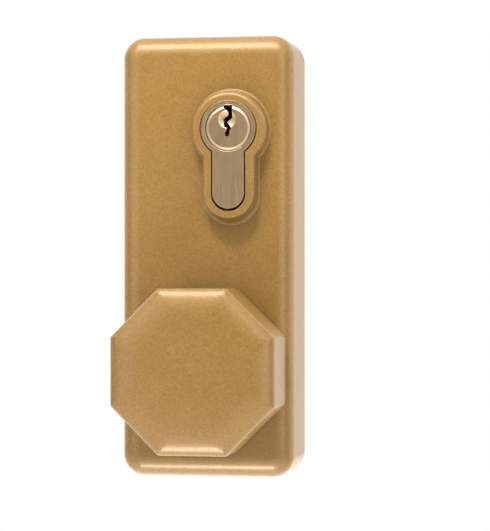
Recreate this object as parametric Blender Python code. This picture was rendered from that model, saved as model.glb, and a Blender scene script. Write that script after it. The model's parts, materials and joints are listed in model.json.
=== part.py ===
# Knob-operated outside access device: die-cast casing with a raised keyhole boss round a short
# euro-profile half cylinder, an octagonal knob below it, and a key-driven clutch behind them.
# Frame: X right, Y back towards the door (the front faces -Y), Z up. The origin is the centre of
# the back plate's rear face. Dimensions are in millimetres; finish() turns them into metres.
import math

import bmesh
import bpy
from mathutils import Matrix, Vector

# ---------------------------------------------------------------- driving dimensions (mm)
CASE_W, CASE_H, CASE_D = 53.2, 135.0, 26.0      # across, high, deep
HALF_W, HALF_H = CASE_W / 2, CASE_H / 2
CASE_R, WALL = 6.5, 2.6                         # corner radius, wall
EDGE_IN, EDGE_BACK = 6.0, 4.0                   # soft front edge: across the face, down the side
EDGE_ANGLES = (16, 32, 48, 62, 76, 90)          # stations round the soft edge, degrees
FACE = -CASE_D                                  # plane of the casing's front face
FOOT_Y = FACE + WALL - 0.6                      # inner bosses start inside the front wall
BOSS_H = 5.7                                    # boss height over the front face
PLATE_T = 2.0
CASE_SCREWS = [(-19.4, 60.3), (19.4, 60.3), (-19.4, -60.3), (19.4, -60.3)]  # (x, z)
POST_Z, POST_END = 58.5, 38.0                   # fixing posts, above and below the centre

CYL_X, CYL_Z = 7.95, 38.8                       # key cylinder axis
CYL_AXIS = (CYL_X, CYL_Z)
CYL_ORIGIN = (CYL_X, 0.0, CYL_Z)
BARREL_R, WEB_R, WEB_DROP = 8.5, 5.0, 19.5      # euro profile: 17 mm barrel, 10 mm web, 33 mm high
CYL_FRONT = FACE - BOSS_H
CYL_REAR = CYL_FRONT + 37.0
SLOT_Y0, SLOT_Y1 = -9.7, 0.3                    # the cylinder's cam slot
PLUG_R, BORE_R = 6.6, 6.75
PIN_Y = [CYL_FRONT + setback for setback in (4.5, 8.3, 12.1, 15.9, 19.7)]
KEY_PIN_LENGTHS = [5.6, 4.9, 6.2, 5.2, 5.9]
KEY_PIN_Z = CYL_Z - 6.4                         # foot of the key pins
DRIVER_Z = CYL_Z - 12.4                         # foot of the driver pins
PIN_HOLE_R = 1.5
CAM_ANGLE, CAM_REACH, CAM_TIP_R = 150, 11.5, 3.5  # cam tongue: points left, 30 degrees up
TAB_X, TAB_T = CYL_X + WEB_R + 0.5, 2.0         # back plate's lug beside the cylinder web
FIX_Y, FIX_Z = (SLOT_Y0 + SLOT_Y1) / 2, CYL_Z - WEB_DROP  # cylinder fixing screw axis

KNOB_Z = -34.5                                  # knob axis
KNOB_AXIS = (0, KNOB_Z)
KNOB_ORIGIN = (0.0, 0.0, KNOB_Z)
KNOB_AF, KNOB_DEEP, KNOB_GAP = 50.0, 23.7, 1.2  # across flats, depth of the facets, gap to casing
KNOB_REAR = FACE - KNOB_GAP
KNOB_FRONT = KNOB_REAR - KNOB_DEEP
KNOB_PIN_Y = FACE - 9.0
SHAFT_HALF, SHAFT_HOLE_HALF = 4.5, 4.62         # half sides of the shaft square and its holes
SPINDLE_HALF, SPINDLE_HOLE_HALF = 3.93, 4.05
SPINDLE_END = 45.0
SPINDLE_PIN_Y = 2.6

TRAVEL = 11.5                                   # lock slide
NOTCH_Z = CYL_Z + CAM_REACH * math.sin(math.radians(CAM_ANGLE))  # cam tip at rest
SLIDE_X0, SLIDE_X1 = -15.0, -3.0                # left edge of the slide, right edge of its stem
GUIDES = {"guide_pin_upper": (-9.0, 20.0), "guide_pin_lower": (-9.0, -1.0)}  # (x, z)
DETENT_Z = 30.0
DETENT_SCREW = (-20.2, 13.0)                    # (x, z)

# base colour, metallic, roughness
FINISHES = {
    "gold_enamel": ((0.45, 0.27, 0.10), 0.35, 0.38),
    "satin_nickel": ((0.42, 0.39, 0.34), 1.0, 0.34),
    "zinc_plate": ((0.55, 0.56, 0.57), 1.0, 0.35),
    "steel": ((0.42, 0.42, 0.43), 1.0, 0.4),
    "spring_steel": ((0.30, 0.31, 0.33), 1.0, 0.35),
    "brass": ((0.72, 0.50, 0.20), 1.0, 0.3),
    "bearing_plastic": ((0.07, 0.07, 0.075), 0.0, 0.5),
}
SHARP_ANGLE = math.radians(32)
MERGE = 0.004


# ---------------------------------------------------------------- outlines
def circle(u, v, radius, sides):
    angles = [2 * math.pi * i / sides for i in range(sides)]
    return [(u + radius * math.cos(a), v + radius * math.sin(a)) for a in angles]


def arc(u, v, radius, start, end, steps):
    """Points from start to end, in degrees, both included."""
    angles = [math.radians(start + (end - start) * i / steps) for i in range(steps + 1)]
    return [(u + radius * math.cos(a), v + radius * math.sin(a)) for a in angles]


def round_rect(half_x, half_z, radius):
    points = []
    for side_x, side_z, start in ((1, 1, 0), (-1, 1, 90), (-1, -1, 180), (1, -1, 270)):
        corner = (side_x * (half_x - radius), side_z * (half_z - radius))
        points += arc(*corner, radius, start, start + 90, 6)
    return points


def case_outline(inset):
    return round_rect(HALF_W - inset, HALF_H - inset, max(CASE_R - inset, 0.8))


def keyhole(offset, barrel_steps=36, web_steps=12, dx=0.0, dz=0.0, rise=0.0, drop=0.0):
    """The euro profile, offset outwards, about the cylinder axis. dx and dz shift it,
    rise lifts the barrel end and drop lowers the web end."""
    barrel, web = BARREL_R + offset, WEB_R + offset
    neck = math.degrees(math.acos(web / barrel))
    points = arc(CYL_X + dx, CYL_Z + dz + rise, barrel, -neck, 180 + neck, barrel_steps)
    points += arc(CYL_X + dx, CYL_Z + dz - WEB_DROP - drop, web, 180, 360, web_steps)
    return points


def knob_square(half):
    low, high = KNOB_Z - half, KNOB_Z + half
    return [(-half, low), (half, low), (half, high), (-half, high)]


def knob_octagon(inset):
    corner = (KNOB_AF / 2 - inset) / math.cos(math.pi / 8)
    angles = [math.pi / 8 + i * math.pi / 4 for i in range(8)]
    return [(corner * math.cos(a), KNOB_Z + corner * math.sin(a)) for a in angles]


# ---------------------------------------------------------------- solids
def loft(rings):
    """A closed solid through rings of equal length, with flat end caps."""
    n = len(rings[0])
    verts = [tuple(v) for ring in rings for v in ring]
    faces = []
    for k in range(len(rings) - 1):
        a, b = k * n, (k + 1) * n
        for i in range(n):
            j = (i + 1) % n
            faces.append((a + i, a + j, b + j, b + i))
    faces.append(tuple(range(n)))
    faces.append(tuple(range((len(rings) - 1) * n, len(rings) * n)))

    mesh = bpy.data.meshes.new("solid")
    mesh.from_pydata(verts, [], faces)
    bm = bmesh.new()
    bm.from_mesh(mesh)
    bmesh.ops.recalc_face_normals(bm, faces=bm.faces)
    if bm.calc_volume(signed=True) < 0:
        bmesh.ops.reverse_faces(bm, faces=bm.faces)
    bm.to_mesh(mesh)
    bm.free()
    ob = bpy.data.objects.new("solid", mesh)
    bpy.context.scene.collection.objects.link(ob)
    return ob


def loft_y(stations):
    """Stations are ((x, z) outline, y)."""
    return loft([[(x, y, z) for x, z in outline] for outline, y in stations])


def prism_y(outline, y0, y1):
    return loft_y([(outline, y0), (outline, y1)])


def prism_x(outline, x0, x1):
    """A (y, z) outline carried along X."""
    return loft([[(x, y, z) for y, z in outline] for x in (x0, x1)])


def box(x0, x1, y0, y1, z0, z1):
    return prism_y([(x0, z0), (x1, z0), (x1, z1), (x0, z1)], y0, y1)


def turned_y(profile, sides, x, z):
    """A solid of revolution about a Y axis; profile is (radius, y)."""
    return loft_y([(circle(x, z, radius, sides), y) for radius, y in profile])


def rod_y(radius, y0, y1, sides, x, z):
    return turned_y([(radius, y0), (radius, y1)], sides, x, z)


def turned_x(profile, sides, axis_y, axis_z):
    """The same about an X axis; profile is (radius, x)."""
    return loft([[(x, y, z) for y, z in circle(axis_y, axis_z, r, sides)] for r, x in profile])


def rod_x(radius, reach, sides, y, z, x=0.0):
    """A plain rod along X, reaching both ways from x."""
    return turned_x([(radius, x - reach), (radius, x + reach)], sides, y, z)


def turned_z(profile, sides, axis_x, axis_y):
    """The same about a Z axis; profile is (radius, z)."""
    return loft([[(x, y, z) for x, y in circle(axis_x, axis_y, r, sides)] for r, z in profile])


def helix(u, v, radius, start, end, steps, along0, along1):
    """(u, v, along) points winding from start to end degrees."""
    turns = arc(u, v, radius, start, end, steps)
    return [(*point, along0 + (along1 - along0) * i / steps) for i, point in enumerate(turns)]


def tube(path, radius, sides):
    """Wire along an open path, closed at both ends."""
    points = [Vector(p) for p in path]
    side = None
    rings = []
    for i, point in enumerate(points):
        before = point - points[i - 1] if i else points[1] - points[0]
        after = points[i + 1] - point if i < len(points) - 1 else points[-1] - points[-2]
        tangent = (before.normalized() + after.normalized()).normalized()
        if side is None:
            side = tangent.orthogonal().normalized()
        side = (side - tangent * side.dot(tangent)).normalized()
        up = tangent.cross(side)
        rings.append([point + side * u + up * v for u, v in circle(0.0, 0.0, radius, sides)])
    return loft(rings)


def combine(ob, others, operation):
    """Apply one boolean after another to ob, using up the other solids."""
    for other in others:
        mod = ob.modifiers.new("boolean", "BOOLEAN")
        mod.operation = operation
        mod.solver = "EXACT"
        mod.object = other
        depsgraph = bpy.context.evaluated_depsgraph_get()
        mesh = bpy.data.meshes.new_from_object(ob.evaluated_get(depsgraph))
        old = ob.data
        ob.modifiers.clear()
        ob.data = mesh
        bpy.data.meshes.remove(old)
        bpy.data.objects.remove(other, do_unlink=True)
    return ob


def cut(ob, *others):
    return combine(ob, others, "DIFFERENCE")


def add(ob, *others):
    return combine(ob, others, "UNION")


def keep(ob, *others):
    return combine(ob, others, "INTERSECT")


# ---------------------------------------------------------------- finishing
def material(finish_name, piece):
    rgb, metallic, roughness = FINISHES[finish_name]
    mat = bpy.data.materials.new(f"{finish_name}_{piece}")
    mat.use_nodes = True
    inputs = mat.node_tree.nodes["Principled BSDF"].inputs
    inputs["Base Color"].default_value = (*rgb, 1.0)
    inputs["Metallic"].default_value = metallic
    inputs["Roughness"].default_value = roughness
    mat.diffuse_color = (*rgb, 1.0)
    return mat


def finish(ob, name, finish_name, origin=(0.0, 0.0, 0.0)):
    """Clean and triangulate the mesh, move it to its origin in metres, name and shade it."""
    mesh = ob.data
    bm = bmesh.new()
    bm.from_mesh(mesh)
    bmesh.ops.remove_doubles(bm, verts=bm.verts, dist=MERGE)
    bmesh.ops.dissolve_degenerate(bm, edges=bm.edges, dist=MERGE)
    bmesh.ops.triangulate(bm, faces=bm.faces, quad_method="BEAUTY", ngon_method="BEAUTY")
    bm.to_mesh(mesh)
    bm.free()
    mesh.transform(Matrix.Translation(-Vector(origin)))
    mesh.transform(Matrix.Scale(0.001, 4))
    ob.location = Vector(origin) * 0.001
    ob.name = name
    mesh.name = name
    mesh.materials.clear()
    mesh.materials.append(material(finish_name, name))
    for polygon in mesh.polygons:
        polygon.use_smooth = True

    attributes = mesh.attributes
    sharp = attributes.get("sharp_edge") or attributes.new("sharp_edge", "BOOLEAN", "EDGE")
    bm = bmesh.new()
    bm.from_mesh(mesh)
    flags = [len(e.link_faces) != 2 or e.calc_face_angle(0.0) > SHARP_ANGLE for e in bm.edges]
    bm.free()
    for i, flag in enumerate(flags):
        sharp.data[i].value = flag


# ---------------------------------------------------------------- casing and back plate
# Flat rim, rounded edge, drafted flank and a small fillet at the foot, longer at the bottom:
# (offset from the euro profile, height over the face, drop of the web end)
BOSS_STATIONS = [
    (3.78, -0.8, 0.8), (3.78, 0.03, 0.8), (3.55, 0.13, 0.78), (3.38, 0.38, 0.74),
    (3.29, 0.85, 0.7), (2.93, 4.5, 0.42), (2.85, 4.95, 0.38), (2.62, 5.38, 0.35),
    (2.3, 5.62, 0.33), (1.95, BOSS_H, 0.3),
]


def build_casing():
    stations = [(case_outline(0.0), 0.0), (case_outline(0.0), FACE + EDGE_BACK)]
    for degrees in EDGE_ANGLES:
        a = math.radians(degrees)
        outline = case_outline(EDGE_IN * (1 - math.cos(a)))
        stations.append((outline, FACE + EDGE_BACK * (1 - math.sin(a))))
    casing = loft_y(stations)
    casing = add(casing, loft_y([
        (keyhole(offset, dx=-0.05, rise=-0.15, drop=drop), FACE - height)
        for offset, height, drop in BOSS_STATIONS
    ]))
    # hollow from the back: (inset, y)
    hollow = ((WALL, 1.0), (WALL, FACE + WALL + 1.2), (WALL + 1.2, FACE + WALL))
    casing = cut(casing, loft_y([(case_outline(inset), y) for inset, y in hollow]))
    # cylinder cradle, bearing collar, spring post, screw bosses
    casing = add(
        casing,
        prism_y(keyhole(2.6, 28, 10), FOOT_Y, -15.0),
        rod_y(9.5, FOOT_Y, -17.6, 40, *KNOB_AXIS),
        box(-1.8, 1.8, FOOT_Y, -17.8, KNOB_Z - 15.2, KNOB_Z - 13.0),
        *[rod_y(5.0, FOOT_Y, -2.15, 20, *place) for place in CASE_SCREWS],
    )
    # openings for the cylinder, the knob bush and the screws
    casing = cut(
        casing,
        prism_y(keyhole(0.4, dx=0.15, dz=-0.2), CYL_FRONT - 2, -10.0),
        rod_y(8.15, FACE - 1, -16.0, 40, *KNOB_AXIS),
        *[rod_y(2.05, -14.0, -1.0, 14, *place) for place in CASE_SCREWS],
    )
    finish(casing, "casing", "gold_enamel")


def build_back_plate():
    def hole(radius, sides, x, z):
        return rod_y(radius, -4.0, 2.0, sides, x, z)

    margin = WALL + 0.15
    plate = prism_y(round_rect(HALF_W - margin, HALF_H - margin, 3.7), -PLATE_T, 0.0)
    lug = [  # (y, z)
        (-PLATE_T + 0.5, 15.2), (-PLATE_T + 0.5, 23.0), (-8.4, 23.0),
        (-9.4, 22.0), (-9.4, 16.2), (-8.4, 15.2),
    ]
    plate = add(plate, prism_x(lug, TAB_X, TAB_X + TAB_T))
    plate = cut(
        plate,
        prism_y(keyhole(0.45, 32), -4.0, 2.0),
        # the window the lug was folded up from also clears the screw's head
        box(TAB_X + TAB_T, TAB_X + 8.4, -4.0, 2.0, 14.8, 23.6),
        hole(6.25, 40, *KNOB_AXIS),
        hole(5.2, 28, 0, POST_Z),
        hole(5.2, 28, 0, -POST_Z),
        *[hole(2.15, 18, *place) for place in GUIDES.values()],
        hole(1.6, 14, *DETENT_SCREW),
        *[turned_y([(2.1, -4.0), (2.1, -1.6), (4.2, 0.5)], 20, *place) for place in CASE_SCREWS],
        turned_x([(2.7, TAB_X - 1), (2.7, TAB_X + 3)], 24, FIX_Y, FIX_Z),
    )
    finish(plate, "back_plate", "zinc_plate")


def build_case_screws():
    profile = [(1.3, -12.6), (1.9, -11.8), (1.9, -1.75), (3.5, -0.15)]
    for number, (x, z) in enumerate(CASE_SCREWS, 1):
        screw = turned_y(profile, 14, x, z)
        screw = cut(screw, box(x - 5, x + 5, -0.85, 1.0, z - 0.45, z + 0.45))
        finish(screw, f"back_plate_screw_{number}", "zinc_plate")


def build_fixing_posts():
    profile = [
        (5.2, -4.0), (5.7, -3.5), (5.7, -2.1), (5.0, -2.1), (5.0, POST_END - 0.6), (4.4, POST_END),
    ]
    bore = [(2.1, POST_END - 20.0), (2.1, POST_END - 0.5), (2.9, POST_END + 0.3)]
    for name, z in (("fixing_post_upper", POST_Z), ("fixing_post_lower", -POST_Z)):
        post = cut(turned_y(profile, 28, 0, z), turned_y(bore, 14, 0, z))
        finish(post, name, "zinc_plate")


# ---------------------------------------------------------------- euro half cylinder
# Keyway outline, open at the top of the plug: (x, z) from the cylinder axis
KEYWAY = [
    (1.35, 7.4), (1.35, 3.4), (0.77, 2.7), (0.0, 2.0), (-0.08, 1.2), (0.6, 0.64), (0.84, 0.2),
    (0.84, -0.3), (0.36, -0.8), (0.26, -2.5), (-0.94, -2.5), (-0.77, -1.3), (-0.43, -0.3),
    (-1.28, 0.54), (-1.35, 2.4), (-0.77, 3.4), (-0.08, 4.1), (0.08, 4.9), (-0.43, 5.4),
    (-1.45, 5.95), (-1.45, 7.4),
]


def pin_holes(z0, z1):
    return [turned_z([(PIN_HOLE_R, z0), (PIN_HOLE_R, z1)], 14, CYL_X, y) for y in PIN_Y]


def build_cylinder_body():
    # (offset, y): small break on the front edge
    stations = ((-0.35, CYL_FRONT - 0.001), (0.0, CYL_FRONT + 0.35), (0.0, CYL_REAR))
    body = loft_y([(keyhole(offset, 40, 14), y) for offset, y in stations])
    body = cut(
        body,
        box(CYL_X - 9, CYL_X + 9, SLOT_Y0, SLOT_Y1, CYL_Z - 15.3, CYL_Z + 9.5),
        rod_y(BORE_R, CYL_FRONT - 1, SLOT_Y0 + 1, 48, *CYL_AXIS),
        rod_y(5.05, SLOT_Y1 - 1, CYL_REAR + 1, 32, *CYL_AXIS),
        *pin_holes(CYL_Z - 26.0, CYL_Z - 5.5),
        rod_x(2.65, 7, 24, FIX_Y, FIX_Z, CYL_X),
    )
    finish(body, "cylinder_body", "satin_nickel")


def build_cylinder_plug():
    # head, groove for the clip, tail
    plug = turned_y([
        (6.15, CYL_FRONT + 0.05), (PLUG_R, CYL_FRONT + 0.5), (PLUG_R, -9.5), (5.6, -9.5),
        (5.6, -8.85), (PLUG_R, -8.85), (PLUG_R, -8.2), (4.0, -8.2), (4.0, -1.0),
    ], 48, *CYL_AXIS)
    dimple = [
        (3.5, CYL_FRONT - 0.4), (3.1, CYL_FRONT + 0.25),
        (1.9, CYL_FRONT + 0.6), (0.6, CYL_FRONT + 0.75),
    ]
    plug = cut(
        plug,
        # two flats on the tail
        box(CYL_X - 6, CYL_X + 6, -8.1, 1.0, CYL_Z + 2.7, CYL_Z + 6),
        box(CYL_X - 6, CYL_X + 6, -8.1, 1.0, CYL_Z - 6, CYL_Z - 2.7),
        prism_y([(CYL_X + x, CYL_Z + z) for x, z in KEYWAY], CYL_FRONT - 1, -10.4),
        *pin_holes(CYL_Z - 8.0, CYL_Z + 1.8),
        turned_y(dimple, 24, CYL_X, CYL_Z + 2.6),
    )
    finish(plug, "cylinder_plug", "satin_nickel", CYL_ORIGIN)


def build_plug_clip():
    """Circlip on the plug behind the barrel bore, open at the bottom."""
    clip = cut(
        rod_y(7.6, -9.5, -8.95, 32, *CYL_AXIS),
        rod_y(5.75, -11, -7, 32, *CYL_AXIS),
        box(CYL_X - 2.2, CYL_X + 2.2, -11, -7, CYL_Z - 9, CYL_Z - 4),
    )
    finish(clip, "plug_clip", "spring_steel", CYL_ORIGIN)


def build_cam():
    """Hub ring, tongue and rear journal, with a flatted hole for the plug's tail."""
    cos_a, sin_a = math.cos(math.radians(CAM_ANGLE)), math.sin(math.radians(CAM_ANGLE))
    tip = arc(CAM_REACH, 0, CAM_TIP_R, -90, 90, 12)
    tongue = [
        (CYL_X + u * cos_a - v * sin_a, CYL_Z + u * sin_a + v * cos_a)
        for u, v in [(0, -CAM_TIP_R)] + tip + [(0, CAM_TIP_R)]
    ]
    cam = turned_y([(8.0, -8.0), (8.0, 0.0), (4.9, 0.0), (4.9, 4.8)], 32, *CYL_AXIS)
    cam = add(cam, prism_y(tongue, -7.95, -2.6))
    hole = keep(
        rod_y(4.15, -9.0, -0.6, 32, *CYL_AXIS),
        box(CYL_X - 6, CYL_X + 6, -9.5, 0, CYL_Z - 2.85, CYL_Z + 2.85),
    )
    finish(cut(cam, hole), "cylinder_cam", "steel", CYL_ORIGIN)


def build_pin_stacks():
    """Per chamber, from the top: key pin, driver pin, spring, plug."""
    driver = [
        (1.2, DRIVER_Z), (1.35, CYL_Z - 12.2), (1.35, CYL_Z - 6.95), (1.15, CYL_Z - 6.75),
    ]
    stopper = [(1.38, CYL_Z - 24.25), (1.38, CYL_Z - 22.6)]
    spring_z = (CYL_Z - 22.5 + 0.22, CYL_Z - 12.5 - 0.22)
    turns, steps_per_turn = 6, 9
    for number, (y, length) in enumerate(zip(PIN_Y, KEY_PIN_LENGTHS), 1):
        top = KEY_PIN_Z + length
        key = [(1.15, KEY_PIN_Z), (1.35, KEY_PIN_Z + 0.25), (1.35, top - 0.9), (0.45, top)]
        place = (12, CYL_X, y)
        finish(turned_z(key, *place), f"key_pin_{number}", "brass", (CYL_X, y, KEY_PIN_Z))
        finish(turned_z(driver, *place), f"driver_pin_{number}", "brass", (CYL_X, y, DRIVER_Z))
        finish(turned_z(stopper, *place), f"chamber_plug_{number}", "brass")
        path = helix(CYL_X, y, 1.08, 0, 360 * turns, turns * steps_per_turn, *spring_z)
        finish(tube(path, 0.18, 5), f"pin_spring_{number}", "spring_steel")


def build_cylinder_screw():
    """Screw that holds the cylinder to the lug on the back plate."""
    under_head = TAB_X + TAB_T + 0.1
    screw = turned_x([
        (2.1, CYL_X - 4.0), (2.5, CYL_X - 3.5), (2.5, under_head), (4.1, under_head),
        (4.1, TAB_X + 3.7), (3.4, TAB_X + 4.5),
    ], 20, FIX_Y, FIX_Z)
    slot = box(TAB_X + 3.2, TAB_X + 6, FIX_Y - 0.5, FIX_Y + 0.5, FIX_Z - 5, FIX_Z + 5)
    finish(cut(screw, slot), "cylinder_fixing_screw", "zinc_plate")


# ---------------------------------------------------------------- knob and its shaft
def knob_pin_hole():
    return rod_x(1.6, 12.5, 14, KNOB_PIN_Y, KNOB_Z)


def build_knob():
    outside = (  # (inset, y): rear edge, facets, domed front
        (1.3, KNOB_REAR), (0.45, KNOB_REAR - 0.35), (0.0, KNOB_REAR - 1.2),
        (0.0, KNOB_FRONT + 3.9), (0.25, KNOB_FRONT + 3.2), (1.0, KNOB_FRONT + 2.5),
        (2.35, KNOB_FRONT + 1.75), (4.2, KNOB_FRONT + 1.12), (6.6, KNOB_FRONT + 0.64),
        (13.0, KNOB_FRONT + 0.22), (19.5, KNOB_FRONT),
    )
    hollow = ((3.2, KNOB_REAR + 1), (3.6, KNOB_FRONT + 5.2), (4.6, KNOB_FRONT + 4.4))
    knob, inside = [
        loft_y([(knob_octagon(inset), y) for inset, y in table]) for table in (outside, hollow)
    ]
    knob = cut(knob, inside)
    # hub, then two crossed ribs
    hub = [(9.8, KNOB_FRONT + 3.5), (10.4, FACE - 1.05)]
    knob = add(knob, turned_y(hub, 32, *KNOB_AXIS))
    reach = KNOB_AF / 2 - 1.5
    for degrees in (0, 90):
        rib = box(-reach, reach, KNOB_FRONT + 3.5, KNOB_REAR - 3.0, -1.1, 1.1)
        turn = Matrix.Rotation(math.radians(degrees), 4, "Y")
        rib.data.transform(Matrix.Translation(KNOB_ORIGIN) @ turn)
        knob = add(knob, rib)
    knob = cut(knob, rod_y(6.6, FACE - 17.0, FACE + 1, 40, *KNOB_AXIS), knob_pin_hole())
    finish(knob, "knob", "gold_enamel", KNOB_ORIGIN)


def build_knob_shaft():
    """Round in front, square with rounded corners behind, with a circlip groove."""
    shaft = turned_y([
        (5.9, FACE - 16.8), (6.45, FACE - 16.2), (6.45, -16.5), (6.45, -6.7), (6.0, -6.2),
    ], 40, *KNOB_AXIS)
    envelope = add(
        box(-8, 8, FACE - 18, -16.5, KNOB_Z - 8, KNOB_Z + 8),
        prism_y(knob_square(SHAFT_HALF), -17.0, -5.0),
    )
    shaft = keep(shaft, envelope)
    groove = cut(
        rod_y(8.0, -15.15, -14.25, 32, *KNOB_AXIS),
        rod_y(5.25, -16, -13, 32, *KNOB_AXIS),
    )
    shaft = cut(shaft, groove, knob_pin_hole())
    finish(shaft, "knob_shaft", "steel", KNOB_ORIGIN)


def build_knob_pin():
    profile = [(1.2, -9.3), (1.45, -9.0), (1.45, 9.0), (1.2, 9.3)]
    pin = turned_x(profile, 14, KNOB_PIN_Y, KNOB_Z)
    finish(pin, "knob_pin", "spring_steel", KNOB_ORIGIN)


def build_knob_bush():
    bush = turned_y([
        (12.6, FACE - 0.9), (13.0, FACE - 0.6), (13.0, FACE - 0.08), (8.0, FACE - 0.08),
        (8.0, -17.3),
    ], 40, *KNOB_AXIS)
    bush = cut(bush, rod_y(6.6, FACE - 3, -15, 40, *KNOB_AXIS))
    finish(bush, "knob_bush", "bearing_plastic")


def build_centring_plate():
    """Disc on the shaft square with an arm below it, bent forwards into a lug."""
    plate = add(
        rod_y(12.0, -16.4, -15.2, 36, *KNOB_AXIS),
        box(-1.8, 1.8, -16.4, -15.2, KNOB_Z - 17.8, KNOB_Z - 10.0),
        box(-1.8, 1.8, -22.8, -15.2, KNOB_Z - 17.8, KNOB_Z - 15.8),
    )
    plate = cut(plate, prism_y(knob_square(SHAFT_HOLE_HALF), -18, -14))
    finish(plate, "centring_plate", "zinc_plate", KNOB_ORIGIN)


def build_knob_circlip():
    clip = cut(
        rod_y(8.2, -15.05, -14.35, 32, *KNOB_AXIS),
        rod_y(5.4, -16, -13, 32, *KNOB_AXIS),
        box(-2.5, 2.5, -16, -13, KNOB_Z - 9, KNOB_Z - 4),
    )
    finish(clip, "knob_circlip", "spring_steel", KNOB_ORIGIN)


def build_return_spring():
    """Torsion spring round the bearing collar, one leg each side of the post and the lug."""
    leg_x, coil_r = 2.75, 10.95
    y0, y1 = -22.3, -18.7
    leg_angle = math.degrees(math.asin(leg_x / coil_r))
    start = -90 - leg_angle - 6
    end = start - (720 - 2 * leg_angle - 12)
    # (distance from x = 0, height from the knob axis), from the leg's end to the coil
    leg = [(leg_x, -18.4), (leg_x, -12.6), (leg_x + 0.35, -11.3)]
    path = [(-x, y0, KNOB_Z + z) for x, z in leg]
    path += [(x, y, z) for x, z, y in helix(*KNOB_AXIS, coil_r, start, end, 46, y0, y1)]
    path += [(x, y1, KNOB_Z + z) for x, z in reversed(leg)]
    finish(tube(path, 0.8, 7), "knob_return_spring", "spring_steel")


# ---------------------------------------------------------------- clutch and spindle
def sectors(inner, outer, half_angle, y0, y1):
    """Two ring sectors, above and below the knob axis."""
    solids = []
    for middle in (90, 270):
        low, high = middle - half_angle, middle + half_angle
        outline = arc(*KNOB_AXIS, outer, low, high, 5) + arc(*KNOB_AXIS, inner, high, low, 5)
        solids.append(prism_y(outline, y0, y1))
    return solids


def spindle_pin_hole():
    return rod_x(1.1, 8, 12, SPINDLE_PIN_Y, KNOB_Z)


def build_clutch_sleeve():
    sleeve = turned_y([
        (7.4, -11.0), (7.8, -10.6), (7.8, -7.9), (13.1, -7.9), (13.5, -7.5), (13.5, -6.3),
        (13.1, -5.9),
    ], 40, *KNOB_AXIS)
    sleeve = add(sleeve, *sectors(6.9, 9.9, 19, -6.6, -3.3))
    sleeve = cut(sleeve, prism_y(knob_square(SHAFT_HOLE_HALF), -12, -2))
    finish(sleeve, "clutch_sleeve", "steel", KNOB_ORIGIN)


def build_clutch_spring():
    turns = helix(*KNOB_AXIS, 9.35, 0, 360 * 3.5, 42, -15.2 + 0.6, -7.9 - 0.6)
    path = [(x, y, z) for x, z, y in turns]
    finish(tube(path, 0.5, 6), "clutch_spring", "spring_steel", KNOB_ORIGIN)


def build_spindle():
    follower = turned_y([
        (10.3, -5.2), (10.3, -2.15), (6.0, -2.15), (6.0, 4.6), (5.6, 5.0),
    ], 40, *KNOB_AXIS)
    follower = cut(
        follower,
        *sectors(6.5, 12.0, 22, -6.0, -2.9),
        prism_y(knob_square(SPINDLE_HOLE_HALF), -7, 7),
        spindle_pin_hole(),
    )
    finish(follower, "spindle_follower", "steel", KNOB_ORIGIN)

    full, end = knob_square(SPINDLE_HALF), knob_square(2.9)
    taper_y = SPINDLE_END - 1.2
    bar = add(
        prism_y(full, -5.0, taper_y),
        loft_y([(full, SPINDLE_END - 1.3), (full, taper_y), (end, SPINDLE_END)]),
    )
    bar = cut(bar, spindle_pin_hole())
    finish(bar, "spindle_bar", "zinc_plate", KNOB_ORIGIN)
    pin = rod_x(0.98, 5.5, 12, SPINDLE_PIN_Y, KNOB_Z)
    finish(pin, "spindle_pin", "spring_steel", KNOB_ORIGIN)


# ---------------------------------------------------------------- lock slide
def build_lock_slide():
    # head with a flared notch, open to the right, for the cam's tip
    head_x, notch_x, flare_x = CYL_X - 8.5, CYL_X - 15.4, CYL_X - 11.8
    jaw, flare = 3.7, 2.31
    head = [
        (SLIDE_X0, NOTCH_Z - 8.55), (head_x, NOTCH_Z - 8.55), (head_x, NOTCH_Z - jaw - flare),
        (flare_x, NOTCH_Z - jaw), (notch_x, NOTCH_Z - jaw), (notch_x, NOTCH_Z + jaw),
        (flare_x, NOTCH_Z + jaw), (head_x, NOTCH_Z + jaw + flare), (head_x, NOTCH_Z + 7.2),
        (SLIDE_X0, NOTCH_Z + 7.2),
    ]
    prong = [  # (y, z)
        (-2.5, -37.0), (-5.4, -37.0), (-5.8, -36.0), (-5.8, -27.2), (-8.2, -15.7),
        (-8.2, -11.0), (-6.7, -6.0), (-4.9, -6.0), (-2.5, -9.6),
    ]
    slide = add(
        prism_y(head, -6.8, -2.4),
        box(SLIDE_X0, SLIDE_X1, -6.8, -4.8, -9.4, NOTCH_Z - 8.0),
        box(SLIDE_X0, 15.0, -6.8, -4.8, -9.4, -3.6),
        prism_x(prong, -15.0, -11.5),
        prism_x(prong, 11.5, 15.0),
    )
    for x, z in GUIDES.values():
        slot = arc(x, z + TRAVEL + 0.3, 2.2, 0, 180, 8) + arc(x, z - 0.3, 2.2, 180, 360, 8)
        slide = cut(slide, prism_y(slot, -8, -3))
    # a V notch in the left edge for each end of the travel
    for z in (DETENT_Z, DETENT_Z + TRAVEL):
        notch = [(SLIDE_X0 - 1, z - 2.3), (SLIDE_X0 + 1.3, z), (SLIDE_X0 - 1, z + 2.3)]
        slide = cut(slide, prism_y(notch, -8, -1))
    finish(slide, "lock_slide", "zinc_plate")


def build_guide_pins():
    profile = [
        (2.6, -8.3), (3.2, -7.8), (3.2, -7.0), (2.0, -7.0), (2.0, -4.65), (3.0, -4.65),
        (3.0, -2.1), (2.0, -2.1), (2.0, -0.15),
    ]
    for name, place in GUIDES.items():
        finish(turned_y(profile, 18, *place), name, "steel")


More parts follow.
